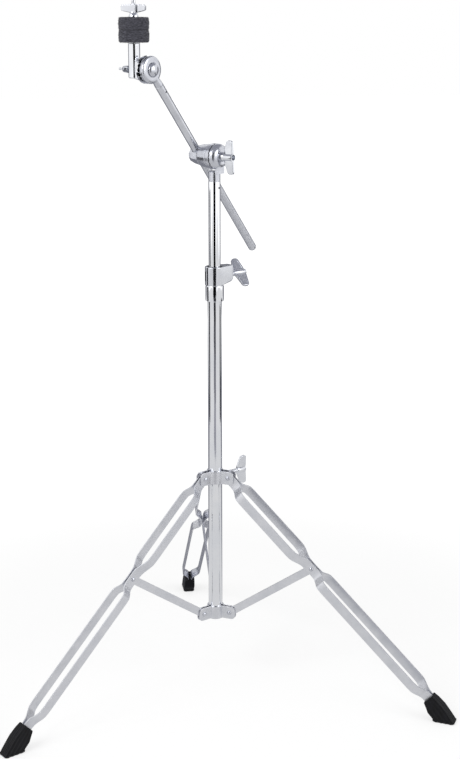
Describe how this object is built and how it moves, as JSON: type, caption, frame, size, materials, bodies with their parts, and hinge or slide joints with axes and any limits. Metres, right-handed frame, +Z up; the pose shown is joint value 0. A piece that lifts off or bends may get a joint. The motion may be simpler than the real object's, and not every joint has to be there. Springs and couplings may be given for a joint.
{
  "type": "cymbal boom stand",
  "caption": "Folding tripod cymbal stand with double-braced legs, telescoping mast, ratchet tilter, sliding boom arm and a felted cymbal post.",
  "frame": {"origin": "on the floor, under the middle of the box that holds the stand", "axes": "+Z up, +Y along the back leg, +X to the right seen from the front"},
  "size_m": [0.706, 0.6134, 1.0869],
  "materials": {
    "chrome": "bright plated",
    "strip_steel": "plated strip, slightly satin",
    "rubber": "matt moulded",
    "nylon": "moulded",
    "felt": "pressed wool felt"
  },
  "bodies": {
    "column": {"lower_tube": "chrome", "bracket_plate_front": "strip_steel", "bracket_plate_right": "strip_steel", "bracket_plate_left": "strip_steel", "bracket_rivet_back": "strip_steel", "bracket_rivet_left": "strip_steel", "bracket_rivet_right": "strip_steel", "height_sleeve": "chrome", "height_clamp": "chrome"},
    "collar": {"collar_plate_front": "strip_steel", "collar_plate_right": "strip_steel", "collar_plate_left": "strip_steel", "collar_rivet_back": "strip_steel", "collar_rivet_left": "strip_steel", "collar_rivet_right": "strip_steel", "collar_clench_nut": "strip_steel"},
    "collar_bolt": {"collar_wing_bolt": "strip_steel"},
    "leg_back": {"leg_strip_back_a": "strip_steel", "leg_strip_back_b": "strip_steel", "strut_rivet_back_a": "strip_steel", "strut_rivet_back_b": "strip_steel", "foot_back": "rubber"},
    "strut_back": {"strut_back": "strip_steel"},
    "leg_left": {"leg_strip_left_a": "strip_steel", "leg_strip_left_b": "strip_steel", "strut_rivet_left_a": "strip_steel", "strut_rivet_left_b": "strip_steel", "foot_left": "rubber"},
    "strut_left": {"strut_left": "strip_steel"},
    "leg_right": {"leg_strip_right_a": "strip_steel", "leg_strip_right_b": "strip_steel", "strut_rivet_right_a": "strip_steel", "strut_rivet_right_b": "strip_steel", "foot_right": "rubber"},
    "strut_right": {"strut_right": "strip_steel"},
    "height_bolt": {"height_wing_bolt": "chrome"},
    "swivel": {"height_bush": "nylon"},
    "mast": {"upper_tube": "chrome", "tilter_base": "chrome", "tilter_pin": "chrome"},
    "boom_head": {"boom_clamp": "chrome", "boom_eye_bolt": "chrome"},
    "boom_nut": {"boom_wing_nut": "chrome"},
    "boom": {"boom_arm": "chrome", "boom_eye": "chrome", "boom_pin": "chrome", "pivot_bolt": "chrome"},
    "holder": {"cymbal_post": "chrome", "cymbal_rod": "chrome", "cymbal_sleeve": "nylon", "seat_washer": "chrome", "felt_lower": "felt", "felt_upper": "felt"},
    "pivot_nut": {"pivot_wing_nut": "chrome"},
    "top_nut": {"cymbal_wing_nut": "chrome"}
  },
  "joints": [
    {"name": "collar_slide", "type": "slide", "parent": "column", "child": "collar", "axis": [0, 0, 1], "range_m": [0, 0.1317]},
    {"name": "collar_bolt_turn", "type": "hinge", "parent": "collar", "child": "collar_bolt", "pos_m": [0, -0.09526, 0.35481], "axis": [0.866, 0.5, 0], "continuous": true},
    {"name": "leg_back_hinge", "type": "hinge", "parent": "collar", "child": "leg_back", "pos_m": [0, -0.07176, 0.35481], "axis": [-1, 0, 0], "range_deg": [0, 43.69]},
    {"name": "strut_back_hinge", "type": "hinge", "parent": "column", "child": "strut_back", "pos_m": [0, -0.06996, 0.12491], "axis": [-1, 0, 0], "range_deg": [-52.58, 0]},
    {"name": "leg_left_hinge", "type": "hinge", "parent": "collar", "child": "leg_left", "pos_m": [-0.02035, -0.10701, 0.35481], "axis": [0.5, -0.866, 0], "range_deg": [0, 43.69]},
    {"name": "strut_left_hinge", "type": "hinge", "parent": "column", "child": "strut_left", "pos_m": [-0.02191, -0.10791, 0.12491], "axis": [0.5, -0.866, 0], "range_deg": [-52.58, 0]},
    {"name": "leg_right_hinge", "type": "hinge", "parent": "collar", "child": "leg_right", "pos_m": [0.02035, -0.10701, 0.35481], "axis": [0.5, 0.866, 0], "range_deg": [0, 43.69]},
    {"name": "strut_right_hinge", "type": "hinge", "parent": "column", "child": "strut_right", "pos_m": [0.02191, -0.10791, 0.12491], "axis": [0.5, 0.866, 0], "range_deg": [-52.58, 0]},
    {"name": "height_bolt_turn", "type": "hinge", "parent": "column", "child": "height_bolt", "pos_m": [0, -0.09526, 0.67756], "axis": [0.891, 0.454, 0], "continuous": true},
    {"name": "mast_swivel", "type": "hinge", "parent": "column", "child": "swivel", "pos_m": [0, -0.09526, 0.67756], "axis": [0, 0, 1], "continuous": true},
    {"name": "mast_height", "type": "slide", "parent": "swivel", "child": "mast", "axis": [0, 0, 1], "range_m": [-0.05, 0.2]},
    {"name": "boom_tilt", "type": "hinge", "parent": "mast", "child": "boom_head", "pos_m": [0, -0.09526, 0.85891], "axis": [0.6807, -0.7325, 0], "range_deg": [-10, 60]},
    {"name": "boom_nut_turn", "type": "hinge", "parent": "boom_head", "child": "boom_nut", "pos_m": [0, -0.09526, 0.85891], "axis": [0.6807, -0.7325, 0], "continuous": true},
    {"name": "boom_slide", "type": "slide", "parent": "boom_head", "child": "boom", "axis": [-0.4709, -0.4376, 0.766], "range_m": [-0.08, 0.14]},
    {"name": "cymbal_tilt", "type": "hinge", "parent": "boom", "child": "holder", "pos_m": [-0.09945, -0.14782, 0.98838], "axis": [0.6807, -0.7325, 0], "range_deg": [-90, 90]},
    {"name": "pivot_nut_turn", "type": "hinge", "parent": "boom", "child": "pivot_nut", "pos_m": [-0.09945, -0.14782, 0.98838], "axis": [0.6807, -0.7325, 0], "continuous": true},
    {"name": "top_nut_turn", "type": "hinge", "parent": "holder", "child": "top_nut", "pos_m": [-0.12008, -0.12563, 0.98838], "axis": [0, 0, 1], "continuous": true}
  ],
  "couplings": [
    {"joint": "leg_back_hinge", "follows": "collar_slide", "rad_per_m": 5.75},
    {"joint": "strut_back_hinge", "follows": "collar_slide", "rad_per_m": -6.9287},
    {"joint": "leg_left_hinge", "follows": "collar_slide", "rad_per_m": 5.75},
    {"joint": "strut_left_hinge", "follows": "collar_slide", "rad_per_m": -6.9287},
    {"joint": "leg_right_hinge", "follows": "collar_slide", "rad_per_m": 5.75},
    {"joint": "strut_right_hinge", "follows": "collar_slide", "rad_per_m": -6.9287}
  ]
}
